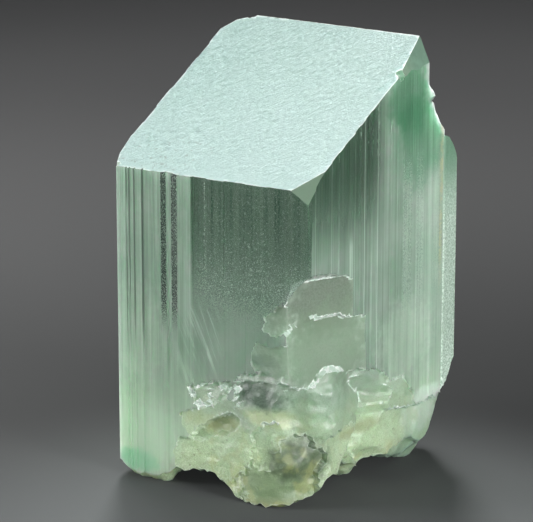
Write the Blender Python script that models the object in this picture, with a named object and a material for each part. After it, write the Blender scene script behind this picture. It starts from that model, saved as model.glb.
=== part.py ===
"""Spodumene crystal: one striated green prism with a sloping etched end and a broken foot.

Metres, +Z up along the prism. The front face looks to -Y and the right face to +X. The origin
is under the middle of the crystal, on the plane that its foot rests on.
"""

import math
import random

import bmesh
import bpy
from mathutils import Matrix, Vector, noise

MM = 0.001
NAME = "spodumene_crystal"

# Prism, in millimetres like every size below; the builders turn them into metres
HALF_WIDTH = 18.45
HALF_DEPTH = 19.85
FRONT_LEFT_X = -16.15
LEFT_FRONT_BEVEL = (-17.35, -17.4)
LEFT_FRONT = (-17.95, -14.0)
LEFT_BACK_Y = 13.6
LEFT_BACK_BEVEL = (-17.1, 17.6)
BACK_LEFT_X = -15.2
RIM_START_Y = 14.9
RIM_GROOVE = ((-0.42, 0.35), (-0.25, 0.9))
RIM_BACK_X = 17.6
PRISM_BOTTOM = -3.0
PRISM_TOP = 72.0

# Sloping end face: its height over the origin, and how it rises to the back and to the right
END_HEIGHT = 59.15
END_RISE_BACK = 0.570
END_RISE_RIGHT = 0.0235

# Corner facet and bevels round the end: (name, a point on each, its outward normal, cutter size)
END_FACETS = (
    ("corner_facet", (17.3, -18.4, 48.6), (0.348, -0.659, 0.671), 16.0),
    ("right_end_bevel", (17.6, 7.6, 63.0), (0.901, -0.038, 0.430), 26.0),
    ("rear_left_bevel", (-15.7, 11.0, 65.0), (-0.50, 0.80, 0.33), 22.0),
    ("left_rear_bevel", (-18.0, 8.8, 63.7), (-0.84, 0.46, 0.28), 16.0),
)
# Chips out of the end's rim: (name, middle, radii)
END_CHIPS = (
    ("edge_notch", (18.7, 3.4, 62.0), (1.5, 0.9, 1.5)),
    ("front_left_nick", (-16.9, -19.9, 48.2), (1.4, 1.0, 1.1)),
    ("rear_nick", (-15.2, 11.9, 65.9), (1.3, 1.2, 1.0)),
)

# Rear: the upper crystal's own back, then the slope where the rear slab broke away
UPPER_BACK_Y = 11.4
UPPER_BACK_SKEW = -0.029
SHOULDER_TOP = 58.8
SHOULDER_STEEPNESS = 1.5

# Growth ribs: (distance along the face, run of the small step, depth under the outermost growth)
FRONT_RIBS = (
    (1.70, 0.12, 0.20), (1.96, 0.12, 0.06), (2.28, 0.12, 0.20), (2.56, 0.12, 0.08),
    (3.20, 0.14, 0.22), (3.50, 0.12, 0.08), (4.62, 0.14, 0.24), (4.94, 0.14, 0.06),
    (6.40, 0.30, 0.12), (8.28, 0.74, 0.30), (9.40, 0.40, 0.24), (10.12, 1.10, 0.02),
    (13.78, 0.40, 0.12), (16.50, 0.25, 0.04), (19.60, 0.30, 0.12), (23.40, 0.25, 0.05),
    (27.20, 0.35, 0.12), (31.50, 0.20, 0.04), (33.20, 0.30, 0.00),
)
RIGHT_RIBS = (
    (1.90, 0.20, 0.12), (3.40, 0.20, 0.03), (5.80, 0.25, 0.14), (7.60, 0.20, 0.05),
    (8.90, 0.20, 0.14), (10.00, 1.00, 0.00), (11.50, 0.25, 0.16), (12.90, 0.20, 0.06),
    (14.10, 0.25, 0.16), (15.80, 0.20, 0.07), (17.40, 0.30, 0.14), (20.70, 0.40, 0.04),
    (24.50, 1.20, 0.20), (26.60, 0.60, 0.08), (28.00, 1.20, 0.22), (31.00, 0.60, 0.04),
)
BACK_RIBS = (
    (1.40, 0.30, 0.25), (3.60, 0.50, 0.05), (6.20, 0.30, 0.35), (7.40, 0.80, 0.15),
    (10.80, 0.40, 0.40), (12.20, 0.30, 0.20), (15.10, 0.90, 0.00), (19.00, 0.40, 0.30),
    (21.30, 0.50, 0.10), (24.20, 0.30, 0.35), (26.00, 0.80, 0.20), (29.40, 0.40, 0.05),
)
LEFT_RIBS = (
    (2.30, 0.40, 0.20), (4.80, 0.30, 0.05), (7.90, 0.60, 0.25), (11.20, 0.30, 0.12),
    (14.00, 0.40, 0.24), (17.50, 0.70, 0.05), (21.40, 0.30, 0.22), (24.60, 0.40, 0.10),
)

# Broken foot: its general height, and (x, y, radius, drop or rise) of the lobes and hollows
FOOT_HEIGHT = 3.7
FOOT_LOBES = (
    (-12.2, -16.6, 6.8, 4.6),
    (9.6, -15.6, 9.6, 5.0),
    (11.2, -1.8, 4.6, 3.2),
    (10.8, 10.6, 7.6, 5.0),
    (-10.5, 10.8, 8.8, 5.2),
)
FOOT_HOLLOWS = (
    (20.8, 21.8, 10.0, 14.5),
    (-18.8, 20.6, 8.0, 4.5),
    (17.6, -7.8, 3.6, 2.6),
    (-0.5, 1.0, 10.0, 2.4),
)

# The broken front right edge: the height of each ledge at the edge, and how deep each terrace lies
EDGE_BREAK_NORMAL = (0.870, -0.493, 0.0)
UPPER_LEDGE_HEIGHT = 31.0
UPPER_LEDGE_SLOPE = 0.42
UPPER_TERRACE_DEPTH = 3.9
MIDDLE_LEDGE_HEIGHT = 29.4
MIDDLE_LEDGE_SLOPES = (0.50, -0.20)
MIDDLE_LEDGE_BEND = 2.0
MIDDLE_TERRACE_DEPTH = 5.3
LOWER_LEDGE_HEIGHT = 20.2
LOWER_LEDGE_SLOPE = 0.16
LOWER_CORNER_RADIUS = 9.0

# Shallow breaks low on the front and right faces: their upper lines and depths
FRONT_BREAK_HEIGHT = 15.5
FRONT_BREAK_SLOPE = 0.10
FRONT_BREAK_DEPTH = 1.4
RIGHT_BREAK_HEIGHT = 10.9
RIGHT_BREAK_DEPTH = 1.0

# Size of the facets of a broken surface, how unevenly they lie, and how far a cutter stands clear
CELL = 1.15
CELL_JITTER = 0.24
CLEAR = 0.9

CRYSTAL_GREEN = (0.55, 0.78, 0.62, 1.0)
CRYSTAL_ROUGHNESS = 0.12
SPODUMENE_IOR = 1.66


def clear_scene():
    for item in list(bpy.data.objects):
        bpy.data.objects.remove(item, do_unlink=True)


def new_collection(name, hidden):
    group = bpy.data.collections.new(name)
    bpy.context.scene.collection.children.link(group)
    group.hide_render = hidden
    return group


def new_object(name, bm, group):
    """Turns a bmesh in millimetres into an object in metres, with its faces pointing out."""
    bmesh.ops.scale(bm, verts=bm.verts, vec=(MM, MM, MM))
    bmesh.ops.recalc_face_normals(bm, faces=bm.faces)
    mesh = bpy.data.meshes.new(name)
    bm.to_mesh(mesh)
    bm.free()
    item = bpy.data.objects.new(name, mesh)
    group.objects.link(item)
    return item


def crystal_material():
    material = bpy.data.materials.new("green_spodumene")
    material.use_nodes = True
    shader = material.node_tree.nodes["Principled BSDF"]
    shader.inputs["Base Color"].default_value = CRYSTAL_GREEN
    shader.inputs["Roughness"].default_value = CRYSTAL_ROUGHNESS
    shader.inputs["Metallic"].default_value = 0.0
    shader.inputs["IOR"].default_value = SPODUMENE_IOR
    shader.inputs["Transmission Weight"].default_value = 0.9
    return material


def ribbed_side(start, end, ribs, first_depth=0.0):
    """Points from start up to end, seen from above, stepping in and out at each growth rib."""
    along = (end - start).normalized()
    inward = Vector((-along.y, along.x))
    depth = first_depth
    points = [start + inward * depth]
    for distance, run, next_depth in ribs:
        points.append(start + along * distance + inward * depth)
        depth = next_depth
        points.append(start + along * (distance + run) + inward * depth)
    return points


def prism_outline():
    """The prism's cross-section, anticlockwise from the front left edge."""
    front_left = Vector((FRONT_LEFT_X, -HALF_DEPTH))
    front_right = Vector((HALF_WIDTH, -HALF_DEPTH))
    rim = Vector((HALF_WIDTH, RIM_START_Y))
    back_right = Vector((RIM_BACK_X, HALF_DEPTH))
    back_left = Vector((BACK_LEFT_X, HALF_DEPTH))
    left_back = Vector((-HALF_WIDTH, LEFT_BACK_Y))
    left_front = Vector(LEFT_FRONT)
    points = ribbed_side(front_left, front_right, FRONT_RIBS, 0.08)
    points += ribbed_side(front_right, rim, RIGHT_RIBS)
    points += [rim] + [rim + Vector(step) for step in RIM_GROOVE]
    points += ribbed_side(back_right, back_left, BACK_RIBS)
    points += [back_left, Vector(LEFT_BACK_BEVEL)]
    points += ribbed_side(left_back, left_front, LEFT_RIBS)
    points += [left_front, Vector(LEFT_FRONT_BEVEL)]
    return points


def make_prism(group):
    bm = bmesh.new()
    base = bm.faces.new([bm.verts.new((p.x, p.y, PRISM_BOTTOM)) for p in prism_outline()])
    raised = bmesh.ops.extrude_face_region(bm, geom=[base])["geom"]
    tops = [item for item in raised if isinstance(item, bmesh.types.BMVert)]
    bmesh.ops.translate(bm, verts=tops, vec=(0, 0, PRISM_TOP - PRISM_BOTTOM))
    return new_object(NAME, bm, group)


def facing(point, normal):
    """The matrix that lays local +Z on a plane's outward normal, with local +X level."""
    up = Vector(normal).normalized()
    level = Vector((0, 0, 1)).cross(up)
    level = level.normalized() if level.length > 0.01 else Vector((1, 0, 0))
    turned = Matrix((level, up.cross(level), up)).transposed().to_4x4()
    return Matrix.Translation(Vector(point)) @ turned


def plane_cutter(group, name, point, normal, size, reach=20.0):
    """A block that removes what lies outside the plane through a point."""
    bm = bmesh.new()
    bmesh.ops.create_cube(bm, size=1.0)
    bmesh.ops.translate(bm, verts=bm.verts, vec=(0, 0, 0.5))
    bmesh.ops.scale(bm, verts=bm.verts, vec=(size, size, reach))
    bmesh.ops.transform(bm, matrix=facing(point, normal), verts=bm.verts)
    return new_object(name, bm, group)


def chip_cutter(group, name, centre, radii):
    """An uneven ball that leaves a shell-shaped chip where it meets an edge."""
    bm = bmesh.new()
    bmesh.ops.create_icosphere(bm, subdivisions=2, radius=1.0)
    for vert in bm.verts:
        vert.co *= 1.0 + 0.25 * noise.noise(vert.co * 2.0 + Vector(centre))
    bmesh.ops.scale(bm, verts=bm.verts, vec=radii)
    bmesh.ops.translate(bm, verts=bm.verts, vec=centre)
    return new_object(name, bm, group)


def relief_cutter(group, name, matrix, half_size, relief, reach=16.0):
    """A block whose inner side is a broken surface: relief(u, v) is its height along local +Z."""
    half_u, half_v = half_size
    bm = bmesh.new()
    bmesh.ops.create_grid(
        bm, x_segments=round(2 * half_u / CELL), y_segments=round(2 * half_v / CELL), size=1.0
    )
    dice = random.Random(name)
    for vert in bm.verts:
        u = vert.co.x * half_u + dice.uniform(-CELL_JITTER, CELL_JITTER)
        v = vert.co.y * half_v + dice.uniform(-CELL_JITTER, CELL_JITTER)
        vert.co = (u, v, relief(u, v))
    for item in bmesh.ops.extrude_face_region(bm, geom=bm.faces[:])["geom"]:
        if isinstance(item, bmesh.types.BMVert):
            item.co.z = reach
    bmesh.ops.transform(bm, matrix=matrix, verts=bm.verts)
    return new_object(name, bm, group)


def smooth_step(low, high, value):
    share = min(max((value - low) / (high - low), 0.0), 1.0)
    return share * share * (3.0 - 2.0 * share)


def bump(distance, radius):
    """1 at the middle of a round hump, easing to 0 at its radius."""
    return 0.5 + 0.5 * math.cos(math.pi * distance / radius) if distance < radius else 0.0


def grain(u, v, seed, steps):
    """Uneven height made of several sizes of waves: steps holds (waves per mm, height)."""
    return sum(
        height * noise.noise(Vector((u * waves, v * waves, seed + 9.1 * waves)))
        for waves, height in steps
    )


def facets(u, v, seed, waves, height):
    """Flat-sided lumps, as on a break that follows the cleavage."""
    return height * (noise.cell(Vector((u * waves, v * waves * 0.8, seed))) - 0.5)


def foot_height(x, y):
    """Height of the broken underside over the resting plane."""
    u = x + grain(x, y, 3.0, ((0.16, 3.0),))
    v = y + grain(x, y, 5.0, ((0.16, 3.0),))
    height = FOOT_HEIGHT + 0.03 * x + grain(x, y, 4.0, ((0.13, 1.3), (0.33, 0.9), (0.8, 0.45)))
    for lobe_x, lobe_y, radius, drop in FOOT_LOBES:
        height -= drop * bump(math.hypot(u - lobe_x, v - lobe_y), radius)
    for hollow_x, hollow_y, radius, rise in FOOT_HOLLOWS:
        height += rise * bump(math.hypot(x - hollow_x, y - hollow_y), radius)
    return max(height, 0.0)


def foot_cutter(group):
    """The break under the crystal: a block that rises from below, cut level where it rests."""
    upside_down = Matrix.Rotation(math.pi, 4, "X")
    return relief_cutter(
        group, "foot_break", upside_down, (23.0, 24.0), lambda u, v: -foot_height(u, -v)
    )


def rear_cutter(group):
    """The upper crystal's own back, and the slope where the rear slab broke away."""

    def relief(u, v):
        x, z = -u, v + SHOULDER_TOP
        back = UPPER_BACK_Y + UPPER_BACK_SKEW * x
        fallen = max(SHOULDER_TOP - z + 1.2 * noise.noise(Vector((x * 0.2, 0, 7.0))), 0.0)
        rough = smooth_step(0.0, 3.0, fallen)
        return back + fallen / SHOULDER_STEEPNESS + rough * (
            grain(x, z, 8.0, ((0.12, 1.6), (0.3, 0.9), (0.8, 0.4))) + facets(x, z, 2.0, 0.2, 0.8)
        )

    place = facing((0, 0, SHOULDER_TOP), (0, 1, 0))
    return relief_cutter(group, "rear_break", place, (21.0, 17.0), relief, reach=30.0)


def worn_corner(u, radius):
    """Depth under the prism's edge of a corner worn round, u being the distance to its right."""
    out_x, out_y = abs(EDGE_BREAK_NORMAL[0]), abs(EDGE_BREAK_NORMAL[1])
    middle = (out_x - out_y) * radius
    across = min(abs(u - middle), 0.97 * radius)
    return (out_x + out_y) * radius - math.sqrt(radius**2 - across**2)


def edge_cutter(group):
    """The front right edge: terraces with slanting ledges over a lump worn round."""

    def relief(u, v):
        wobble = grain(u, v, 12.0, ((0.25, 1.2), (0.7, 0.5)))
        past_bend = u - MIDDLE_LEDGE_BEND
        top = UPPER_LEDGE_HEIGHT + UPPER_LEDGE_SLOPE * u + wobble * 0.3
        middle = MIDDLE_LEDGE_HEIGHT + MIDDLE_LEDGE_SLOPES[past_bend > 0] * past_bend + wobble * 0.6
        lower = LOWER_LEDGE_HEIGHT - LOWER_LEDGE_SLOPE * abs(u) + wobble * 1.2
        if v > top:
            return 3 * CLEAR
        if v > middle:
            return -UPPER_TERRACE_DEPTH - 0.137 * u + 0.25 * wobble
        if v > lower:
            return -MIDDLE_TERRACE_DEPTH - 0.12 * abs(u) + 0.55 * wobble + facets(u, v, 3.0, 0.16, 0.7)
        ragged = grain(u, v, 14.0, ((0.18, 1.4), (0.45, 0.9), (1.0, 0.35)))
        return -worn_corner(u, LOWER_CORNER_RADIUS) - 0.4 + ragged

    place = facing((HALF_WIDTH, -HALF_DEPTH, 0.0), EDGE_BREAK_NORMAL)
    return relief_cutter(group, "edge_break", place, (30.0, 38.0), relief)


def front_cutter(group):
    """Shallow rough breaks low on the front face."""

    def relief(u, v):
        x, z = u, v
        uneven = grain(x, z, 21.0, ((0.2, 3.0), (0.6, 1.0)))
        line = FRONT_BREAK_HEIGHT + FRONT_BREAK_SLOPE * x + uneven
        inside = smooth_step(-1.5, 1.5, line - z) * smooth_step(-9.0, -4.0, x)
        ragged = grain(x, z, 22.0, ((0.14, 1.0), (0.35, 0.8), (0.9, 0.35)))
        depth = CLEAR + FRONT_BREAK_DEPTH + facets(x, z, 23.0, 0.17, 0.8)
        return CLEAR - inside * (depth - ragged)

    place = facing((0, -HALF_DEPTH, 0.0), (0, -1, 0))
    return relief_cutter(group, "front_break", place, (24.0, 22.0), relief)


def right_cutter(group):
    """The lowest band of the right face, broken back under a long ledge."""

    def relief(u, v):
        y, z = u, v
        line = RIGHT_BREAK_HEIGHT + grain(y, z, 31.0, ((0.18, 1.2), (0.6, 0.4)))
        ragged = grain(y, z, 32.0, ((0.16, 0.9), (0.4, 0.6), (0.9, 0.3)))
        if z > line:
            return CLEAR
        return -RIGHT_BREAK_DEPTH - 0.05 * (line - z) + ragged

    place = facing((HALF_WIDTH, 0.0, 0.0), (1, 0, 0))
    return relief_cutter(group, "right_break", place, (25.0, 16.0), relief)


def end_cutters(group):
    """The sloping end, its small corner facet, and the bevels and chips round its rim."""
    end_normal = (-END_RISE_RIGHT, -END_RISE_BACK, 1.0)
    yield plane_cutter(group, "end_face", (0, 0, END_HEIGHT), end_normal, 90.0, 40.0)
    for name, point, normal, size in END_FACETS:
        yield plane_cutter(group, name, point, normal, size)
    for name, middle, radii in END_CHIPS:
        yield chip_cutter(group, name, middle, radii)


def cut_away(body, cutters):
    for cutter in cutters:
        cutter.display_type = "WIRE"
        cutter.hide_render = True
        cut = body.modifiers.new(cutter.name, "BOOLEAN")
        cut.operation = "DIFFERENCE"
        cut.solver = "EXACT"
        cut.object = cutter


def main():
    clear_scene()
    parts = new_collection(NAME, hidden=False)
    helpers = new_collection("cutters", hidden=True)
    crystal = make_prism(parts)
    crystal.data.materials.append(crystal_material())
    cut_away(crystal, end_cutters(helpers))
    cut_away(crystal, [rear_cutter(helpers), edge_cutter(helpers)])
    cut_away(crystal, [front_cutter(helpers), right_cutter(helpers), foot_cutter(helpers)])


main()
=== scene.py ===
"""Dresses the spodumene crystal: its striated, etched and broken surfaces, its veils and its light.

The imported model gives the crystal's place and box. The visual crystal is shaped finer than the
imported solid, in millimetres, with the same growth ribs, breaks and lobes, and stands for it.
"""

import math
import random

import bmesh
import bpy
from bpy.props import FloatProperty, FloatVectorProperty, IntProperty, PointerProperty
from mathutils import Matrix, Vector, noise


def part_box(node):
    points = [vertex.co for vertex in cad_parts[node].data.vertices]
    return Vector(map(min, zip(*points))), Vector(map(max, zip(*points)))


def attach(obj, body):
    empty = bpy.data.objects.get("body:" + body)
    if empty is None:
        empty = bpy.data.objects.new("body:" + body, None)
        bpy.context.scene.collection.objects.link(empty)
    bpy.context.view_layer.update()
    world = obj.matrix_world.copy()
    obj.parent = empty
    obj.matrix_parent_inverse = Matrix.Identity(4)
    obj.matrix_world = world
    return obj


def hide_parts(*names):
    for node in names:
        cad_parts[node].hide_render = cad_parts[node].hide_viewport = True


bl_info = {
    "name": "Spodumene Crystal",
    "version": (1, 0, 0),
    "blender": (4, 5, 0),
    "location": "View3D > Sidebar > Crystal",
    "description": "Models and dresses one broken, striated crystal and lights it",
    "category": "Object",
}

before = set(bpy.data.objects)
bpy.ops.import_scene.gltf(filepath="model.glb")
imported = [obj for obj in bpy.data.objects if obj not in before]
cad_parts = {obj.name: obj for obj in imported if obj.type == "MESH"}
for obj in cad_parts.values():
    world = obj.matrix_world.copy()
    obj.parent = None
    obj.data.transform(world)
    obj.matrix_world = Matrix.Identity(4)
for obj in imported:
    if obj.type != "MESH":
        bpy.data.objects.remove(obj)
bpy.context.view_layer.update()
NODE = "spodumene_crystal"
LOW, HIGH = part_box(NODE)
MM = 0.001

# Prism, in millimetres like every size of the crystal below
HALF_WIDTH = (HIGH.x - LOW.x) / 2 / MM
HALF_DEPTH = (HIGH.y - LOW.y) / 2 / MM
FRONT_LEFT_X = -16.15
LEFT_FRONT_BEVEL = (-17.35, -17.4)
LEFT_FRONT = (-17.95, -14.0)
LEFT_BACK_Y = 13.6
LEFT_BACK_BEVEL = (-17.1, 17.6)
BACK_LEFT_X = -15.2
RIM_START_Y = 14.9
RIM_GROOVE = ((-0.42, 0.35), (-0.25, 0.9))
RIM_BACK_X = 17.6
PRISM_BOTTOM = -3.0
PRISM_TOP = 72.0
LEVEL_STEP = 1.5

# Sloping end face: its height over the origin, and how it rises to the back and to the right
END_HEIGHT = 59.15
END_RISE_BACK = 0.570
END_RISE_RIGHT = 0.0235
END_NORMAL = Vector((-END_RISE_RIGHT, -END_RISE_BACK, 1.0)).normalized()

# Corner facet and bevels round the end: (name, a point on each, its outward normal, cutter size)
END_FACETS = (
    ("corner_facet", (17.3, -18.4, 48.6), (0.348, -0.659, 0.671), 16.0),
    ("right_end_bevel", (17.6, 7.6, 63.0), (0.901, -0.038, 0.430), 26.0),
    ("rear_left_bevel", (-15.7, 11.0, 65.0), (-0.50, 0.80, 0.33), 22.0),
    ("left_rear_bevel", (-18.0, 8.8, 63.7), (-0.84, 0.46, 0.28), 16.0),
)
# Chips out of the end's rim: (name, middle, radii)
END_CHIPS = (
    ("edge_notch", (18.7, 3.4, 62.0), (1.5, 0.9, 1.5)),
    ("front_left_nick", (-16.9, -19.9, 48.2), (1.4, 1.0, 1.1)),
    ("rear_nick", (-15.2, 11.9, 65.9), (1.3, 1.2, 1.0)),
)

# Rear: the upper crystal's own back, then the slope where the rear slab broke away
UPPER_BACK_Y = 11.4
UPPER_BACK_SKEW = -0.029
SHOULDER_TOP = 58.8
SHOULDER_STEEPNESS = 1.5

# Growth ribs: (distance along the face, run of the small step, depth under the outermost growth)
FRONT_RIBS = (
    (1.70, 0.12, 0.20), (1.96, 0.12, 0.06), (2.28, 0.12, 0.20), (2.56, 0.12, 0.08),
    (3.20, 0.14, 0.22), (3.50, 0.12, 0.08), (4.62, 0.14, 0.24), (4.94, 0.14, 0.06),
    (6.40, 0.30, 0.12), (8.28, 0.74, 0.30), (9.40, 0.40, 0.24), (10.12, 1.10, 0.02),
    (13.78, 0.40, 0.12), (16.50, 0.25, 0.04), (19.60, 0.30, 0.12), (23.40, 0.25, 0.05),
    (27.20, 0.35, 0.12), (31.50, 0.20, 0.04), (33.20, 0.30, 0.00),
)
RIGHT_RIBS = (
    (1.90, 0.20, 0.12), (3.40, 0.20, 0.03), (5.80, 0.25, 0.14), (7.60, 0.20, 0.05),
    (8.90, 0.20, 0.14), (10.00, 1.00, 0.00), (11.50, 0.25, 0.16), (12.90, 0.20, 0.06),
    (14.10, 0.25, 0.16), (15.80, 0.20, 0.07), (17.40, 0.30, 0.14), (20.70, 0.40, 0.04),
    (24.50, 1.20, 0.20), (26.60, 0.60, 0.08), (28.00, 1.20, 0.22), (31.00, 0.60, 0.04),
)
BACK_RIBS = (
    (1.40, 0.30, 0.25), (3.60, 0.50, 0.05), (6.20, 0.30, 0.35), (7.40, 0.80, 0.15),
    (10.80, 0.40, 0.40), (12.20, 0.30, 0.20), (15.10, 0.90, 0.00), (19.00, 0.40, 0.30),
    (21.30, 0.50, 0.10), (24.20, 0.30, 0.35), (26.00, 0.80, 0.20), (29.40, 0.40, 0.05),
)
LEFT_RIBS = (
    (2.30, 0.40, 0.20), (4.80, 0.30, 0.05), (7.90, 0.60, 0.25), (11.20, 0.30, 0.12),
    (14.00, 0.40, 0.24), (17.50, 0.70, 0.05), (21.40, 0.30, 0.22), (24.60, 0.40, 0.10),
)

# Broken foot: its general height, and (x, y, radius, drop or rise) of the lobes and hollows
FOOT_HEIGHT = 3.7
FOOT_LOBES = (
    (-12.2, -16.6, 6.8, 4.6),
    (9.6, -15.6, 9.6, 5.0),
    (11.2, -1.8, 4.6, 3.2),
    (10.8, 10.6, 7.6, 5.0),
    (-10.5, 10.8, 8.8, 5.2),
)
FOOT_HOLLOWS = (
    (20.8, 21.8, 10.0, 14.5),
    (-18.8, 20.6, 8.0, 4.5),
    (17.6, -7.8, 3.6, 2.6),
    (-0.5, 1.0, 10.0, 2.4),
)

# The broken front right edge, unrolled onto a plane that leans on the edge: along it is level, up it
# is height. The rims of its three ledges, as (along, height).
EDGE_BREAK_NORMAL = (0.870, -0.493, 0.0)
UPPER_LEDGE = (
    (-3.8, 28.9), (-2.8, 30.7), (-1.7, 32.5), (-0.5, 34.3), (0.2, 34.9), (1.9, 35.1), (5.5, 35.2),
    (9.2, 34.6), (11.0, 34.0),
)
MIDDLE_LEDGE = (
    (-3.0, 26.6), (-1.5, 27.4), (0.0, 28.4), (2.4, 28.6), (5.0, 28.6), (8.3, 28.2), (10.9, 28.0),
    (13.7, 27.0), (16.0, 25.6),
)
LOWER_LEDGE = (
    (-4.0, 17.4), (-0.6, 18.4), (2.9, 18.8), (4.6, 20.5), (7.0, 20.8), (8.9, 19.5), (12.3, 18.8),
    (15.0, 18.6), (18.3, 16.4), (21.5, 16.0),
)
# Height over which the upper ledge slopes in, and each terrace's depth and how it deepens along
LEDGE_SLOPE = 2.0
UPPER_TERRACE = (4.09, 0.144)
MIDDLE_TERRACE = (3.95, 0.278)
# Radius of the corner worn round below them, and a hollow in it
LOWER_CORNER_RADIUS = 9.0
CORNER_HOLLOW = (
    (-4.6, 7.7), (-1.8, 9.1), (-1.6, 10.4), (0.5, 11.2), (2.6, 10.7), (3.1, 9.5), (4.9, 8.1),
    (5.1, 7.0), (3.7, 5.4), (4.5, -8.0), (-7.0, -8.0),
)
CORNER_HOLLOW_DEPTH = 1.1

# Scars on the front face: (outline as x and height, depth at its middle, how the depth grows to the
# right and upwards, height of the crumpling)
FRONT_SCARS = (
    (((10.8, 28.9), (13.9, 31.8), (15.4, 30.0), (14.9, 27.2), (12.0, 26.2), (10.4, 26.9)),
     0.55, 0.06, 0.03, 0.05),
    (((9.4, 25.7), (11.9, 24.9), (14.6, 25.8), (17.0, 20.5), (9.0, 20.6), (7.9, 22.6)),
     0.45, 0.05, -0.05, 0.10),
    (((5.3, 18.4), (5.5, 19.6), (9.7, 20.6), (13.8, 20.6), (18.0, 20.4), (18.0, 18.9)),
     0.75, 0.02, 0.10, 0.35),
    (((-3.7, 16.1), (-0.6, 17.1), (2.6, 18.0), (5.4, 18.6), (4.7, 16.8), (3.4, 15.6), (1.5, 13.7),
      (-1.2, 12.9)),
     1.15, 0.05, 0.12, 0.40),
    (((5.3, 18.5), (13.9, 19.4), (18.0, 19.0), (18.0, 15.6), (10.5, 15.3), (5.2, 15.2)),
     1.55, 0.02, 0.28, 0.12),
    (((-4.5, 8.2), (-4.5, 12.2), (-1.2, 12.9), (1.5, 13.7), (3.4, 15.6), (5.2, 15.4), (10.5, 15.4),
      (14.4, 16.4), (23.0, 17.0), (23.0, -6.0), (-11.0, -6.0), (-9.0, 2.0)),
     0.70, 0.03, 0.02, 0.14),
    (((3.9, 13.3), (5.9, 12.6), (5.0, 10.8), (0.0, 8.6), (-3.0, 8.2), (-1.8, 9.6), (0.9, 11.7)),
     1.70, 0.05, 0.10, 0.18),
    (((7.9, 10.2), (8.4, 11.5), (9.5, 12.2), (12.1, 13.4), (14.5, 13.7), (15.8, 14.9), (23.0, 15.4),
      (23.0, -6.0), (9.5, -6.0), (8.4, 4.0)),
     1.30, 0.03, 0.05, 0.16),
)
# A wedge that stands proud of the scars round it
FRONT_WEDGE = (
    (-4.5, 8.2), (-4.5, 12.2), (0.0, 13.6), (3.9, 13.3), (0.9, 11.7), (-1.8, 9.6), (-3.0, 8.2),
)
FRONT_WEDGE_DEPTH = 0.25

# Two long ledges on the right face, as y and height, and the depth of what broke away under each
RIGHT_UPPER_LEDGE = (
    (-21.0, 21.0), (-12.6, 21.3), (-9.8, 19.6), (-4.4, 18.1), (-0.2, 17.6), (0.9, 15.8), (4.9, 16.1),
    (6.4, 14.0), (8.5, 10.5), (24.0, 10.0),
)
RIGHT_LOWER_LEDGE = (
    (-21.0, 8.6), (-11.0, 10.7), (-8.2, 11.3), (-4.2, 11.4), (0.2, 11.1), (5.1, 10.3), (10.8, 9.8),
    (13.9, 9.8), (18.2, 12.6), (24.0, 15.0),
)
RIGHT_UPPER_DEPTH = 0.40
RIGHT_LOWER_DEPTH = 1.45

# How far a cutter stands clear of a face that it leaves whole, and the cell of the ledges' cutters as
# a share of the break cell
CLEAR = 0.9
LEDGE_CELL = 0.75

# The broken surface of each cutter, on the cutter's own plane: (middle, half size)
END_AREA = ((0.0, -2.0), (21.0, 26.0))
REAR_AREA = ((0.0, -1.0), (20.5, 15.5))
EDGE_AREA = ((0.0, 18.0), (27.0, 22.0))
FRONT_AREA = ((6.0, 15.0), (17.0, 19.0))
RIGHT_AREA = ((0.0, 10.2), (23.0, 14.7))
FOOT_AREA = ((0.0, 0.0), (22.0, 23.0))

# Etch pits in the end face: how many in all, and how many of them near its front
END_PITS = 26
FRONT_PITS = 16

# Edges shorter than SLIVER are closed up after each cut. A cut that fails is tried again, NUDGES
# times at most, with its cutter moved by up to NUDGE.
SLIVER = 0.002
NUDGES = 6
NUDGE = 0.02

# Edges that turn by more than SHARP degrees get sharp shading, and by HACKLY times that on the hackly
# break under HACKLY_TOP. Over UPPER_BORDER, a break's overhangs and its border get a painted highlight.
SHARP = 38.0
HACKLY = 0.6
HACKLY_TOP = 15.0
UPPER_BORDER = 24.0

# Growth lines: bright ones by y on the right face, dark bands and lines by x on the front face
BRIGHT_LINES = (-17.95, -14.0, -8.3, -5.8, -2.4)
PITTED_BANDS = ((-7.95, -7.15), (-6.1, -4.9))
DARK_LINES = ((-14.45, -14.3), (-13.95, -13.75), (-13.05, -12.85), (-11.55, -11.2))

# Silvery veils in the left middle: the middle and radii of their zone, and their lean in radians
VEIL_MIDDLE = (-0.7, -19.8, 22.5)
VEIL_RADII = (4.2, 3.0, 8.5)
VEIL_LEAN = 0.44

# Colours of the clear body and of the dark refraction painted into it, and of the milk in it
CLEAR_BODY = (0.96, 0.99, 0.97)
DARK_REFRACTION_BODY = (0.03, 0.15, 0.08)
DARK_REFRACTION_MILK = (0.04, 0.13, 0.07)
UPPER_MILK = ((0.45, 0.61, 0.49), (0.57, 0.71, 0.60))

# Colours of the grains, dust and pits in the milk of the broken foot, and of its iron stain
OLIVE_LUMPS = (0.32, 0.39, 0.22)
PALE_GRAINS = (0.74, 0.86, 0.70)
DARK_GRAINS = (0.26, 0.34, 0.22)
PALE_DUST = (0.66, 0.80, 0.60)
DARK_DUST = (0.22, 0.31, 0.17)
DARK_PITS = (0.12, 0.14, 0.07)
STAIN = (0.44, 0.47, 0.19)

# Colours of the satin skin: facets, also painted shade in cracks; the rear break; crumbs and
# sparks on frost, also painted highlight on ledges; and painted glints on ledges
FACET_AND_CRACK_SHADE_SKIN = (0.26, 0.36, 0.27)
REAR_SKIN = (0.20, 0.34, 0.25)
CRUMB_AND_HIGHLIGHT_SKIN = (0.62, 0.76, 0.66)
GLINTS = (0.92, 0.97, 0.93)
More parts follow.
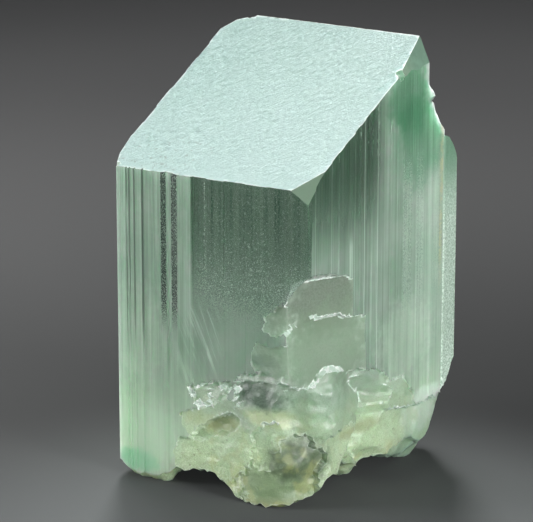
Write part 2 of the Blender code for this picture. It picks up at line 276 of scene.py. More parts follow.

# The etched end with its pits and the painted highlight on its edge, the frosted rim, its stain,
# and the dark growth lines
END_SKIN = ((0.15, 0.35, 0.30), (0.43, 0.63, 0.60))
END_PIT_SKIN = (0.10, 0.20, 0.16)
END_EDGE_HIGHLIGHT = (0.80, 0.92, 0.88)
RIM_SKIN = ((0.34, 0.50, 0.38), (0.80, 0.95, 0.84))
RIM_TOP_SKIN = (0.16, 0.32, 0.21)
IRON_SKIN = (0.60, 0.52, 0.22)
PITTED_SKIN = (0.010, 0.025, 0.018)

# How strongly spodumene bends light
SPODUMENE_IOR = 1.66

# Patches on any surface, of stain, milk, darker tone, painted shade or painted glow: (middle, radii,
# colour, share of that colour)
PATCHES = (
    ((12.0, -17.0, 0.4), (7.0, 6.0, 1.5), (0.30, 0.27, 0.09), 0.70),
    # Painted shade in the band under the right face's lower ledge
    ((17.6, -5.0, 9.7), (2.5, 6.5, 0.9), (0.27, 0.28, 0.16), 0.55),
    ((18.4, 0.6, 19.4), (1.5, 2.9, 3.0), (0.14, 0.22, 0.16), 0.50),
    ((18.4, 8.5, 51.0), (3.0, 7.5, 9.0), (0.09, 0.27, 0.15), 0.72),
    ((18.4, 5.5, 58.0), (3.0, 7.0, 7.0), (0.06, 0.24, 0.12), 0.78),
    ((17.3, 11.0, 8.0), (3.0, 5.5, 3.0), (0.78, 0.88, 0.76), 0.60),
    ((-12.5, -19.8, 23.0), (6.0, 2.0, 8.0), (0.62, 0.76, 0.60), 0.28),
    # Painted glow of light through the foot's front left corner
    ((-13.0, -19.6, 2.9), (5.0, 3.0, 1.9), (0.18, 0.50, 0.28), 0.65),
    ((-9.5, -19.8, 8.0), (6.0, 2.0, 5.5), (0.42, 0.60, 0.45), 0.40),
    ((12.0, -19.0, 13.6), (6.5, 3.0, 1.6), (0.50, 0.57, 0.32), 0.60),
    ((17.8, 11.6, 11.0), (2.5, 6.0, 1.6), (0.66, 0.80, 0.70), 0.50),
    ((18.4, 4.5, 21.0), (3.0, 8.0, 7.0), (0.66, 0.82, 0.66), 0.40),
)
# The same, on broken surfaces only
BREAK_PATCHES = (
    # Painted shade in the dark pocket low on the front break
    ((9.1, -18.6, 16.6), (5.2, 2.5, 2.2), (0.06, 0.11, 0.07), 0.90),
    ((10.6, -19.4, 22.4), (3.4, 2.0, 1.1), (0.08, 0.14, 0.13), 0.55),
    ((12.2, -19.4, 25.4), (3.2, 2.0, 0.8), (0.06, 0.11, 0.08), 0.65),
    # Painted shade in the olive hollow beside the front wedge
    ((1.6, -18.4, 11.2), (4.8, 2.2, 1.8), (0.33, 0.40, 0.20), 0.75),
    # Painted shade on the underside of the lobe below the front right corner, in two patches
    ((10.0, -17.0, 2.8), (8.0, 6.0, 3.6), (0.17, 0.25, 0.13), 0.82),
    ((14.6, -16.2, 7.2), (5.2, 5.4, 4.1), (0.10, 0.145, 0.08), 0.92),
    ((16.3, -14.0, 31.0), (7.0, 10.0, 6.0), (0.17, 0.22, 0.16), 0.88),
    ((14.8, -12.0, 23.5), (9.0, 13.0, 8.0), (0.25, 0.35, 0.24), 0.76),
)

# What a face of the crystal is, kept as its material index while the solid is cut
FACE_KINDS = ("face", "rim", "etched", "facet", "broken")

# Floor, walls and lights, in metres
BOWL_RADIUS = 0.95
BOWL_CORNER = 0.35
BOWL_HEIGHT = 0.75
BOWL_CORNER_STEPS = 12
BOWL_STEPS = 96

# Painted pool of light on the floor in front of the crystal: its middle, and where its border
# starts and ends
LIGHT_POOL = (0.029, -0.039, 0.0)
LIGHT_POOL_BORDER = (0.025, 0.085)
# Darkest place of the painted shade on the floor, behind the crystal, and how far from it the floor
# is as pale as the wall
DIM = (0.040, 0.036, 0.0)
DIM_REACH = 0.37

# Soft boxes: (name, place, side, power in watts, spread of the grid on it in degrees)
SOFT_BOXES = (
    ("top_box", (-0.38, 0.28, 0.60), 0.40, 0.31, 44.0),
    ("front_box", (0.55, -0.75, 0.16), 0.28, 1.9, 60.0),
    ("back_box", (-0.32, 0.42, 0.50), 0.14, 0.22, 34.0),
    ("right_box", (0.85, -0.12, 0.17), 0.30, 1.18, 60.0),
    ("left_box", (-0.62, -0.45, 0.17), 0.30, 0.60, 60.0),
)
BOX_AIM = (0.0, 0.0, 0.03)
SKY_COLOUR = (0.93, 0.97, 1.0)

# Camera: the turn and lift of the view in degrees, its lens, and what it looks at from how far
VIEW_TURN = 36.4
VIEW_LIFT = 15.0
VIEW_LENS = 187.0
VIEW_DISTANCE = 0.415
VIEW_TARGET = (-0.002204, -0.001625, 0.031394)


class CrystalShape(bpy.types.PropertyGroup):
    """How finely the crystal's surfaces are shaped."""

    cell: FloatProperty(
        name="Break cell", description="Size of the facets of a broken surface", default=0.5 * MM,
        min=0.2 * MM, subtype="DISTANCE", unit="LENGTH",
    )
    hair_spacing: FloatProperty(
        name="Hair line spacing", description="Mean distance between the finest growth lines",
        default=0.34 * MM, min=0.1 * MM, subtype="DISTANCE", unit="LENGTH",
    )
    hair_depth: FloatProperty(
        name="Hair line depth", description="Greatest depth of the finest growth lines",
        default=0.035 * MM, min=0.0, subtype="DISTANCE", unit="LENGTH",
    )
    seed: IntProperty(
        name="Seed", description="Changes the places and depths of the finest growth lines", default=7
    )


class CrystalLook(bpy.types.PropertyGroup):
    """Colours and finish of the crystal."""

    tint: FloatVectorProperty(
        name="Body tint", description="Colour that the clear crystal lets through",
        default=(0.52, 0.97, 0.68), subtype="COLOR", min=0.0, max=1.0,
    )
    tint_density: FloatProperty(
        name="Tint density", description="How strongly the body takes the tint, per metre",
        default=9.0, min=0.0,
    )
    polish: FloatProperty(
        name="Face roughness", description="Roughness of the clear prism faces", default=0.05,
        min=0.0, max=1.0, subtype="FACTOR",
    )
    glow_depth: FloatProperty(
        name="Glow depth", description="How far light spreads inside the clouds", default=8 * MM,
        min=0.0, subtype="DISTANCE", unit="LENGTH",
    )
    milk: FloatVectorProperty(
        name="Milk colour", description="Colour of the cloudy lower part",
        default=(0.44, 0.60, 0.34), subtype="COLOR", min=0.0, max=1.0,
    )


class StudioSettings(bpy.types.PropertyGroup):
    """Floor, walls and lamps."""

    # Colour of the painted pool of light in front of the crystal
    floor: FloatVectorProperty(
        name="Floor colour", description="Colour of the floor round the crystal",
        default=(0.125, 0.132, 0.132), subtype="COLOR", min=0.0, max=1.0,
    )
    # Colour of the painted shade behind the crystal
    shade: FloatVectorProperty(
        name="Shaded floor colour", description="Colour of the floor a hand's breadth away",
        default=(0.033, 0.034, 0.034), subtype="COLOR", min=0.0, max=1.0,
    )
    wall: FloatVectorProperty(
        name="Wall colour", description="Colour of the far floor and the walls",
        default=(0.20, 0.20, 0.20), subtype="COLOR", min=0.0, max=1.0,
    )
    sky: FloatProperty(
        name="Sky strength", description="Strength of the soft light from overhead", default=0.18,
        min=0.0,
    )


# Shader maths


class Signal:
    """One socket of a shader, on which maths is written as on a number."""

    def __init__(self, tree, socket):
        self.tree = tree
        self.socket = socket

    def math(self, operation, *others):
        made = self.tree.nodes.new("ShaderNodeMath")
        made.operation = operation
        for index, value in enumerate((self, *others)):
            plug(self.tree, made.inputs[index], value)
        return Signal(self.tree, made.outputs[0])

    def __add__(self, other):
        return self.math("ADD", other)

    __radd__ = __add__

    def __mul__(self, other):
        return self.math("MULTIPLY", other)

    __rmul__ = __mul__

    def __sub__(self, other):
        return self.math("SUBTRACT", other)

    def __rsub__(self, other):
        return (self * -1.0) + other

    def above(self, low, high):
        """0 under low, easing to 1 over high."""
        return node(
            self.tree, "ShaderNodeMapRange", {"interpolation_type": "SMOOTHSTEP"},
            {"Value": self, "From Min": low, "From Max": high},
        )

    def below(self, low, high):
        """1 under low, easing to 0 over high."""
        return 1.0 - self.above(low, high)

    def larger(self, other):
        return self.math("MAXIMUM", other)

    def held(self):
        """Kept between 0 and 1."""
        return self.math("MINIMUM", 1.0).math("MAXIMUM", 0.0)


def plug(tree, socket, value):
    """Links a signal to a socket, or sets the socket's own value."""
    if isinstance(value, Signal):
        tree.links.new(value.socket, socket)
    elif hasattr(socket.default_value, "__len__") and len(socket.default_value) == 4:
        socket.default_value = (*value[:3], 1.0)
    else:
        socket.default_value = value


def node(tree, kind, settings, inputs, output=0):
    """A new node of a kind: its settings first, then its sockets, linked or set."""
    made = tree.nodes.new(kind)
    for name, value in settings.items():
        setattr(made, name, value)
    for name, value in inputs.items():
        plug(tree, made.inputs[name], value)
    return Signal(tree, made.outputs[output])


def blend_colour(tree, share, first, second):
    """From the first colour to the second as the share goes from 0 to 1."""
    return node(
        tree, "ShaderNodeMix", {"data_type": "RGBA"}, {0: share, 6: first, 7: second}, output=2
    )


def layered(tree, base, layers):
    """The base colour, with each (share, colour) of the layers blended over it in turn."""
    for share, colour in layers:
        base = blend_colour(tree, share, base, colour)
    return base


def new_material(name):
    """A new material, its node tree and its output node."""
    material = bpy.data.materials.new(name)
    material.use_nodes = True
    tree = material.node_tree
    tree.nodes.clear()
    return material, tree, tree.nodes.new("ShaderNodeOutputMaterial")


def place_mm(tree, stretch=(1.0, 1.0, 1.0), turn=(0.0, 0.0, 0.0)):
    """The place on the piece in millimetres, turned and then stretched along each axis."""
    spot = node(tree, "ShaderNodeTexCoord", {}, {}, output=3)
    turned = node(tree, "ShaderNodeMapping", {}, {"Vector": spot, "Rotation": turn})
    return node(
        tree, "ShaderNodeVectorMath", {"operation": "MULTIPLY"},
        {0: turned, 1: tuple(axis / MM for axis in stretch)},
    )


def waves(tree, place, scale, detail=2.0, roughness=0.5):
    """Smooth uneven values round 0.5; scale is in waves per millimetre."""
    return node(
        tree, "ShaderNodeTexNoise", {},
        {"Vector": place, "Scale": scale, "Detail": detail, "Roughness": roughness},
    )


def patch(tree, place, centre, radii, ragged):
    """1 inside an ellipsoid round a point in millimetres, easing to 0 over its ragged border."""
    off = node(tree, "ShaderNodeVectorMath", {"operation": "SUBTRACT"}, {0: place, 1: centre})
    off = node(tree, "ShaderNodeVectorMath", {"operation": "DIVIDE"}, {0: off, 1: radii})
    away = node(tree, "ShaderNodeVectorMath", {"operation": "LENGTH"}, {0: off}, output=1)
    return (away + (ragged - 0.5) * 1.5).below(0.50, 1.20)


def mark(tree, name):
    """A mark that was left on the faces of a piece, 0 or 1."""
    return node(tree, "ShaderNodeAttribute", {"attribute_name": name}, {}, output=2)


# Shape of the crystal


def smooth_step(low, high, value):
    """0 under low, easing to 1 over high."""
    share = min(max((value - low) / (high - low), 0.0), 1.0)
    return share * share * (3.0 - 2.0 * share)


def bump(distance, radius):
    """1 at the middle of a round hump, easing to 0 at its radius."""
    return 0.5 + 0.5 * math.cos(math.pi * distance / radius) if distance < radius else 0.0


def grain(u, v, seed, steps):
    """Uneven height made of several sizes of waves: steps holds (waves per mm, height)."""
    return sum(
        height * noise.noise(Vector((u * count, v * count, seed + 9.1 * count)))
        for count, height in steps
    )


def facets(u, v, seed, count, height):
    """Flat-sided lumps, as on a break that follows the cleavage."""
    return height * (noise.cell(Vector((u * count, v * count * 0.8, seed))) - 0.5)


def height_on(line, along):
    """Height of a broken line of (along, height) points at a distance along it."""
    for (before, low), (after, high) in zip(line, line[1:]):
        if along <= after:
            share = min(max((along - before) / (after - before), 0.0), 1.0)
            return low + share * (high - low)
    return line[-1][1]


def inside(outline, u, v):
    """Whether a point lies inside a closed outline of (u, v) points."""
    found = False
    for (u0, v0), (u1, v1) in zip(outline, outline[1:] + outline[:1]):
        if (v0 > v) != (v1 > v) and u < u0 + (v - v0) / (v1 - v0) * (u1 - u0):
            found = not found
    return found


def add_object(name, data):
    """A new object at the origin that shows a mesh, a lamp or a camera."""
    made = bpy.data.objects.new(name, data)
    bpy.context.scene.collection.objects.link(made)
    return made


def new_piece(name, bm):
    """Turns a bmesh in millimetres into an object in metres at the origin."""
    bmesh.ops.scale(bm, verts=bm.verts, vec=(MM, MM, MM))
    mesh = bpy.data.meshes.new(name)
    bm.to_mesh(mesh)
    bm.free()
    return add_object(name, mesh)


def facing(point, normal):
    """The matrix that lays local +Z on a plane's outward normal, with local +X level."""
    up = Vector(normal).normalized()
    level = Vector((0, 0, 1)).cross(up)
    level = level.normalized() if level.length > 0.01 else Vector((1, 0, 0))
    turned = Matrix((level, up.cross(level), up)).transposed().to_4x4()
    return Matrix.Translation(Vector(point)) @ turned


class Side:
    """One striated side of the prism, seen from above: where its growth lines lie and how deep."""

    def __init__(self, start, end, ribs, kind, first_depth=0.0, hair=1.0):
        self.start = start
        self.along = (end - start).normalized()
        self.inward = Vector((-self.along.y, self.along.x))
        self.length = (end - start).length
        self.ribs = [(0.0, first_depth)]
        for distance, run, depth in ribs:
            self.ribs.append((distance, self.ribs[-1][1]))
            self.ribs.append((distance + run, depth))
        self.ribs.append((self.length, self.ribs[-1][1]))
        self.kind = kind
        self.hair = hair

    def rib_depth(self, distance):
        """Depth of the growth steps at a distance along the side."""
        for (before, depth), (after, next_depth) in zip(self.ribs, self.ribs[1:]):
            if distance <= after:
                share = (distance - before) / max(after - before, 1e-6)
                return depth + share * (next_depth - depth)
        return self.ribs[-1][1]

    def stations(self, spacing, dice):
        """Distances of the lines along the side, at every rib and at uneven steps between."""
        found = [distance for distance, depth in self.ribs[:-1]]
        step = dice.uniform(0.4, 1.4) * spacing
        while step < self.length - spacing * 0.4:
            if min(abs(step - distance) for distance in found) > spacing * 0.3:
                found.append(step)
            step += dice.uniform(0.45, 1.55) * spacing
        return sorted(found)


def prism_sides():
    """The prism's sides, counterclockwise from the front left."""
    front_left = Vector((FRONT_LEFT_X, -HALF_DEPTH))
    front_right = Vector((HALF_WIDTH, -HALF_DEPTH))
    rim = Vector((HALF_WIDTH, RIM_START_Y))
    grooved = rim + Vector(RIM_GROOVE[0])
    rim_end = rim + Vector(RIM_GROOVE[1])
    back_right = Vector((RIM_BACK_X, HALF_DEPTH))
    back_left = Vector((BACK_LEFT_X, HALF_DEPTH))
    left_bevel = Vector(LEFT_BACK_BEVEL)
    left_back = Vector((-HALF_WIDTH, LEFT_BACK_Y))
    left_front = Vector(LEFT_FRONT)
    front_bevel = Vector(LEFT_FRONT_BEVEL)
    return (
        Side(front_left, front_right, FRONT_RIBS, "face", 0.08),
        Side(front_right, rim, RIGHT_RIBS, "face"),
        Side(rim, grooved, (), "rim", hair=0.0),
        Side(grooved, rim_end, (), "rim", hair=0.0),
        Side(rim_end, back_right, (), "rim", hair=1.5),
        Side(back_right, back_left, BACK_RIBS, "face"),
        Side(back_left, left_bevel, (), "face"),
        Side(left_bevel, left_back, (), "face"),
        Side(left_back, left_front, LEFT_RIBS, "face"),
        Side(left_front, front_bevel, (), "face"),
        Side(front_bevel, front_left, (), "face"),
    )


def striated_prism(shape):
    """The prism, raised level by level, so that its hair lines come and go with height."""
    dice = random.Random(shape.seed)
    spacing = shape.hair_spacing / MM
    deepest = shape.hair_depth / MM
    lines = []
    for side in prism_sides():
        for distance in side.stations(spacing, dice):
            fine = deepest * side.hair * dice.random() ** 2
            lines.append((side, distance, side.rib_depth(distance), fine, dice.uniform(0, 99)))

    def spot(line, height):
        side, distance, depth, fine, seed = line
        wander = noise.noise(Vector((seed, height * 0.045, 1.0)))
        shown = smooth_step(-0.25, 0.35, noise.noise(Vector((seed, height * 0.03, 5.0))))
        ribbed = depth * (1.0 + 0.25 * noise.noise(Vector((distance * 0.2, height * 0.05, 3.0))))
        at = side.start + side.along * (distance + 0.03 * wander)
        at = at + side.inward * (ribbed + fine * (0.3 + shown))
        return Vector((at.x, at.y, height))

    bm = bmesh.new()
    line_of = bm.verts.layers.int.new("line")
    ring = [bm.verts.new(spot(line, PRISM_BOTTOM)) for line in lines]
    for index, vert in enumerate(ring):
        vert[line_of] = index
    cap = bm.faces.new(ring)
    levels = round((PRISM_TOP - PRISM_BOTTOM) / LEVEL_STEP)
    for level in range(1, levels + 1):
        height = PRISM_BOTTOM + (PRISM_TOP - PRISM_BOTTOM) * level / levels
        raised = bmesh.ops.extrude_face_region(bm, geom=[cap])["geom"]
        if level > 1:
            bmesh.ops.delete(bm, geom=[cap], context="FACES_ONLY")
        cap = next(item for item in raised if isinstance(item, bmesh.types.BMFace))
        for vert in cap.verts:
            vert.co = spot(lines[vert[line_of]], height)
    for face in bm.faces:
        between = sorted({vert[line_of] for vert in face.verts})
        if len(between) == 2:
            first = between[0] if between[1] - between[0] == 1 else between[1]
            face.material_index = FACE_KINDS.index(lines[first][0].kind)
    bm.verts.layers.int.remove(line_of)
    bmesh.ops.recalc_face_normals(bm, faces=bm.faces)
    bmesh.ops.triangulate(bm, faces=bm.faces)
    return bm


def finish_cutter(name, bm, matrix, kind):
    """A closed cutter in its place, whose faces say what kind of surface they leave."""
    bmesh.ops.transform(bm, matrix=matrix, verts=bm.verts)
    bmesh.ops.recalc_face_normals(bm, faces=bm.faces)
    for face in bm.faces:
        face.material_index = FACE_KINDS.index(kind)
    bmesh.ops.triangulate(bm, faces=bm.faces)
    return new_piece(name, bm)


def plane_cutter(name, point, normal, size, reach=20.0, kind="facet"):
    """A block that removes what lies outside the plane through a point."""
    bm = bmesh.new()
    bmesh.ops.create_cube(bm, size=1.0)
    bmesh.ops.translate(bm, verts=bm.verts, vec=(0, 0, 0.5))
    bmesh.ops.scale(bm, verts=bm.verts, vec=(size, size, reach))
    return finish_cutter(name, bm, facing(point, normal), kind)


def chip_cutter(name, centre, radii):
    """An uneven ball that leaves a shell-shaped chip where it meets an edge."""
    bm = bmesh.new()
    bmesh.ops.create_icosphere(bm, subdivisions=4, radius=1.0)
    for vert in bm.verts:
        rough = 0.04 * noise.noise(vert.co * 9.0)
        vert.co *= 1.0 + 0.25 * noise.noise(vert.co * 2.0 + Vector(centre)) + rough
    bmesh.ops.scale(bm, verts=bm.verts, vec=radii)
    return finish_cutter(name, bm, Matrix.Translation(Vector(centre)), "broken")


def relief_cutter(name, matrix, area, relief, cell, reach=16.0, kind="broken"):
    """A block whose inner side is a broken surface: relief(u, v) is its height along local +Z."""
    middle, half_size = area
    bm = bmesh.new()
    bmesh.ops.create_grid(
        bm, x_segments=round(2 * half_size[0] / cell), y_segments=round(2 * half_size[1] / cell),
        size=1.0,
    )
    dice = random.Random(name)
    for vert in bm.verts:
        u = middle[0] + vert.co.x * half_size[0] + dice.uniform(-0.2, 0.2) * cell
        v = middle[1] + vert.co.y * half_size[1] + dice.uniform(-0.2, 0.2) * cell
        vert.co = (u, v, relief(u, v))
    border = [edge for edge in bm.edges if edge.is_boundary]
    raised = bmesh.ops.extrude_edge_only(bm, edges=border)["geom"]
    tops = [item for item in raised if isinstance(item, bmesh.types.BMVert)]
    for vert in tops:
        vert.co.z = reach
    bmesh.ops.holes_fill(bm, edges=[edge for edge in bm.edges if edge.is_boundary], sides=0)
    return finish_cutter(name, bm, matrix, kind)


def foot_height(x, y):
    """Height of the broken underside over the resting plane."""
    u = x + grain(x, y, 3.0, ((0.16, 3.0),))
    v = y + grain(x, y, 5.0, ((0.16, 3.0),))
    height = FOOT_HEIGHT + 0.03 * x + grain(x, y, 4.0, ((0.13, 1.3), (0.33, 0.9), (0.8, 0.45)))
    for lobe_x, lobe_y, radius, drop in FOOT_LOBES:
        height -= drop * bump(math.hypot(u - lobe_x, v - lobe_y), radius)
    for hollow_x, hollow_y, radius, rise in FOOT_HOLLOWS:
        height += rise * bump(math.hypot(x - hollow_x, y - hollow_y), radius)
    height += grain(x, y, 6.0, ((1.7, 0.30), (3.1, 0.12)))
    return max(height, 0.0)


def foot_cutter(cell):
    """The break under the crystal: a block that rises from below, cut level where it rests."""
    upside_down = Matrix.Rotation(math.pi, 4, "X")
    return relief_cutter(
        "foot_break", upside_down, FOOT_AREA, lambda u, v: -foot_height(u, -v), cell
    )


def rear_cutter(cell):
    """The upper crystal's own back, and the slope where the rear slab broke away."""

    def relief(u, v):
        x, z = -u, v + SHOULDER_TOP
        back = UPPER_BACK_Y + UPPER_BACK_SKEW * x + 0.02 * noise.noise(Vector((x * 2.2, z * 0.1, 4)))
        fallen = max(SHOULDER_TOP - z + 1.2 * noise.noise(Vector((x * 0.2, 0, 7.0))), 0.0)
        rough = smooth_step(0.0, 3.0, fallen)
        uneven = grain(x, z, 8.0, ((0.12, 1.6), (0.3, 0.9), (0.8, 0.4), (1.9, 0.12), (3.3, 0.06)))
        return back + fallen / SHOULDER_STEEPNESS + rough * (uneven + facets(x, z, 2.0, 0.2, 0.8))

    place = facing((0, 0, SHOULDER_TOP), (0, 1, 0))
    return relief_cutter("rear_break", place, REAR_AREA, relief, cell, reach=30.0)


def worn_corner(u, radius):
    """Depth under the prism's edge of a corner worn round, u being the distance to its right."""
    out_x, out_y = abs(EDGE_BREAK_NORMAL[0]), abs(EDGE_BREAK_NORMAL[1])
    middle = (out_x - out_y) * radius
    across = min(abs(u - middle), 0.97 * radius)
    return (out_x + out_y) * radius - math.sqrt(radius**2 - across**2)


def edge_cutter(cell):
    """The front right edge: flat terraces under hackly ledges, over a lump worn round."""

    def relief(u, v):
        jagged = grain(u, v, 15.0, ((0.8, 0.55), (1.9, 0.30)))
        gentle = grain(u, v, 12.0, ((0.12, 0.55), (0.35, 0.20)))
        fine = grain(u, v, 13.0, ((1.6, 0.07), (3.3, 0.03)))
        under = height_on(UPPER_LEDGE, u) + 0.5 * jagged + LEDGE_SLOPE * 0.7 - v
        if under < 0.0:
            return 3 * CLEAR
        if v > height_on(MIDDLE_LEDGE, u) + jagged:
            terrace = -UPPER_TERRACE[0] - UPPER_TERRACE[1] * u + 0.25 * gentle + 0.4 * fine
            return terrace * min(under / LEDGE_SLOPE, 1.0)
        if v > height_on(LOWER_LEDGE, u) + jagged:
            return -MIDDLE_TERRACE[0] - MIDDLE_TERRACE[1] * u + 0.5 * gentle + 0.6 * fine
        hollow = CORNER_HOLLOW_DEPTH * inside(CORNER_HOLLOW, u + jagged, v + jagged)
        lumps = grain(u, v, 14.0, ((0.16, 1.7), (0.4, 0.6), (1.0, 0.2)))
        radius = LOWER_CORNER_RADIUS + grain(0.0, v, 16.0, ((0.2, 3.0), (0.6, 1.0)))
        return -worn_corner(u, radius) - 0.5 - hollow + lumps + fine

    place = facing((HALF_WIDTH, -HALF_DEPTH, 0.0), EDGE_BREAK_NORMAL)
    return relief_cutter("edge_break", place, EDGE_AREA, relief, cell)


def front_cutter(cell):
    """Flat and crumpled scars low on the front face, one over the other."""

    def relief(u, v):
        jagged_u = u + grain(u, v, 21.0, ((0.9, 0.35), (2.1, 0.25)))
        jagged_v = v + grain(u, v, 22.0, ((0.9, 0.35), (2.1, 0.25)))
        deepest = -CLEAR
        for outline, depth, across, upwards, crumple in FRONT_SCARS:
            if inside(outline, jagged_u, jagged_v):
                middle_u = sum(point[0] for point in outline) / len(outline)
                middle_v = sum(point[1] for point in outline) / len(outline)
                found = depth + across * (u - middle_u) + upwards * min(v - middle_v, 4.0)
                found += crumple * (
                    grain(u, v, 23.0, ((0.35, 1.2), (0.9, 1.0), (2.0, 0.5)))
                    + facets(u, v, 24.0, 0.45, 0.8)
                )
                deepest = max(deepest, max(found, 0.12) * smooth_step(-10.5, -5.0, u))
        if inside(FRONT_WEDGE, u, v):
            deepest = FRONT_WEDGE_DEPTH + 0.05 * (u + v - 10.0)
        return -deepest if deepest > 0.0 else CLEAR

    place = facing((0, -HALF_DEPTH, 0.0), (0, -1, 0))
    return relief_cutter("front_break", place, FRONT_AREA, relief, cell)


def right_cutter(cell):
    """The lowest bands of the right face, broken back under two long ledges."""

    def relief(u, v):
        y, z = u, v
        jagged = grain(y, z, 31.0, ((0.5, 0.5), (1.2, 0.5), (2.4, 0.25)))
        gentle = grain(y, z, 32.0, ((0.14, 0.7), (0.5, 0.22), (1.5, 0.10), (3.2, 0.04)))
        low = height_on(RIGHT_LOWER_LEDGE, y) + 0.7 * jagged
        if z > height_on(RIGHT_UPPER_LEDGE, y) + jagged and z > low:
            return CLEAR
        if z > low:
            return -RIGHT_UPPER_DEPTH + 0.25 * gentle
        return -RIGHT_LOWER_DEPTH + 0.06 * (low - z) + gentle

    place = facing((HALF_WIDTH, 0.0, 0.0), (1, 0, 0))
    return relief_cutter("right_break", place, RIGHT_AREA, relief, cell)


def end_cutter(cell):
    """The sloping end face, etched into a fine slanting relief with a few pits."""
    dice = random.Random("end_pits")
    pits = []
    for count in range(END_PITS):
        near_front = count < FRONT_PITS
        v = dice.uniform(-21.0, -13.0) if near_front else dice.uniform(-20.0, 12.0)
        u = dice.uniform(-15.5, -2.0) if near_front else dice.uniform(-14.0, 15.0)
        pits.append((u, v, dice.uniform(0.30, 0.55), dice.uniform(0.05, 0.16)))

    def relief(u, v):
        slant_u, slant_v = u * 0.50 + v * 0.87, v * 0.50 - u * 0.87
        height = 0.028 * noise.noise(Vector((slant_u * 0.35, slant_v * 1.1, 2.0)))
        height += 0.018 * noise.noise(Vector((slant_u * 0.9, slant_v * 2.2, 6.0)))
        for pit_u, pit_v, radius, depth in pits:
            height -= depth * bump(math.hypot((u - pit_u) * 0.6, v - pit_v), radius)
        return height

    place = facing((0, 0, END_HEIGHT), END_NORMAL)
    return relief_cutter("end_face", place, END_AREA, relief, cell, reach=40.0, kind="etched")


def crystal_cutters(cell):
    """Every cutter, in the order in which they cut."""
    yield end_cutter(cell)
    for name, point, normal, size in END_FACETS:
        yield plane_cutter(name, point, normal, size)
    for name, middle, radii in END_CHIPS:
        yield chip_cutter(name, middle, radii)
    yield rear_cutter(cell)
    for make in (edge_cutter, front_cutter, right_cutter):
        yield make(cell * LEDGE_CELL)
    yield foot_cutter(cell)


def cut_once(body, cutter):
    """The body with one cutter taken away, as a new mesh that keeps each face's kind."""
    cut = body.modifiers.new(cutter.name, "BOOLEAN")
    cut.operation = "DIFFERENCE"
    cut.solver = "EXACT"
    cut.material_mode = "INDEX"
    cut.object = cutter
    bpy.context.view_layer.update()
    mesh = bpy.data.meshes.new_from_object(body.evaluated_get(bpy.context.evaluated_depsgraph_get()))
    body.modifiers.clear()
    bm = bmesh.new()
    bm.from_mesh(mesh)
    bmesh.ops.dissolve_degenerate(bm, edges=bm.edges, dist=SLIVER * MM)
    bm.to_mesh(mesh)
    bm.free()
    return mesh


def cut_crystal(body, cutters):
    """Takes every cutter away from the body, and moves one by a hair where its cut fails."""
    for slot in FACE_KINDS:
        body.data.materials.append(bpy.data.materials.new(slot))
    dice = random.Random("nudge")
    for cutter in cutters:
        for slot in body.data.materials:
            cutter.data.materials.append(slot)
        for attempt in range(NUDGES):
            mesh = cut_once(body, cutter)
            if len(mesh.polygons) > len(body.data.polygons) // 2 and is_closed(mesh):
                break
            cutter.location = [dice.uniform(-NUDGE, NUDGE) * MM for axis in range(3)]
        else:
            raise RuntimeError(f"the cut {cutter.name} left an open surface")
        body.data = mesh
        bpy.data.objects.remove(cutter, do_unlink=True)
    bpy.data.objects.remove(body, do_unlink=True)
    return mesh


def is_closed(mesh):
    """Whether every edge has two faces, as far as the counts tell."""
    return len(mesh.loops) == 2 * len(mesh.edges)


def mark_faces(mesh):
    """Turns each face's kind into marks that the material reads, and rounds broken surfaces."""
    kinds = [polygon.material_index for polygon in mesh.polygons]
    for kind in FACE_KINDS[1:]:
        layer = mesh.attributes.new(kind, "FLOAT", "FACE")
        wanted = FACE_KINDS.index(kind)
        layer.data.foreach_set("value", [float(found == wanted) for found in kinds])
    soft = (FACE_KINDS.index("broken"), FACE_KINDS.index("etched"))
    for polygon in mesh.polygons:
        polygon.use_smooth = polygon.material_index in soft
        polygon.material_index = 0
    mesh.materials.clear()


def sharpen_ledges(bm, angle):
    """Breaks the smooth shading along every edge sharper than the angle, and marks the points along
    the sharp edges of the broken surfaces: as a painted highlight where they face up or are on the
    right, as painted shade in cracks elsewhere. Marks the end face's edge for a painted highlight too."""
    broken = bm.faces.layers.float["broken"]
    ledge_highlight = bm.verts.layers.float.new("ledge_highlight")
    shaded_crack = bm.verts.layers.float.new("shaded_crack")
    etched = bm.faces.layers.float["etched"]
    end_edge_highlight = bm.verts.layers.float.new("end_edge_highlight")
    for face in bm.faces:
        # Overhangs high on the break get the painted ledge highlight
        overhang = face[broken] * smooth_step(0.35, 0.55, -face.normal.z)
        if overhang > 0.0 and face.calc_center_median().z > UPPER_BORDER * MM:
            for vert in face.verts:
                vert[ledge_highlight] = max(vert[ledge_highlight], overhang)
    for edge in bm.edges:
        turn = edge.calc_face_angle(4.0)
        edge.smooth = turn < (angle * HACKLY if edge.verts[0].co.z < HACKLY_TOP * MM else angle)
        # The end face's edge gets a painted highlight
        if len({face[etched] for face in edge.link_faces}) == 2:
            for vert in edge.verts:
                vert[end_edge_highlight] = 1.0
        kinds = {face[broken] > 0.5 for face in edge.link_faces}
        run = (edge.verts[1].co - edge.verts[0].co).normalized()
        border = len(kinds) == 2 and abs(run.z) < 0.85 and edge.verts[0].co.z > UPPER_BORDER * MM
        if (turn >= angle and True in kinds) or border:
            steep = smooth_step(0.25, 0.60, max(abs(face.normal.z) for face in edge.link_faces))
            steep = max(steep, 0.9 * border)
            for vert in edge.verts:
                # Points that face up or lie on the right get the painted highlight, the others painted
                # shade
                lit = smooth_step(-0.85, -0.35, vert.normal.z)
                lit = max(lit, smooth_step(17.4, 18.1, vert.co.x / MM), float(border))
                vert[ledge_highlight] = max(vert[ledge_highlight], steep * lit)
                vert[shaded_crack] = max(vert[shaded_crack], steep * (1.0 - lit))


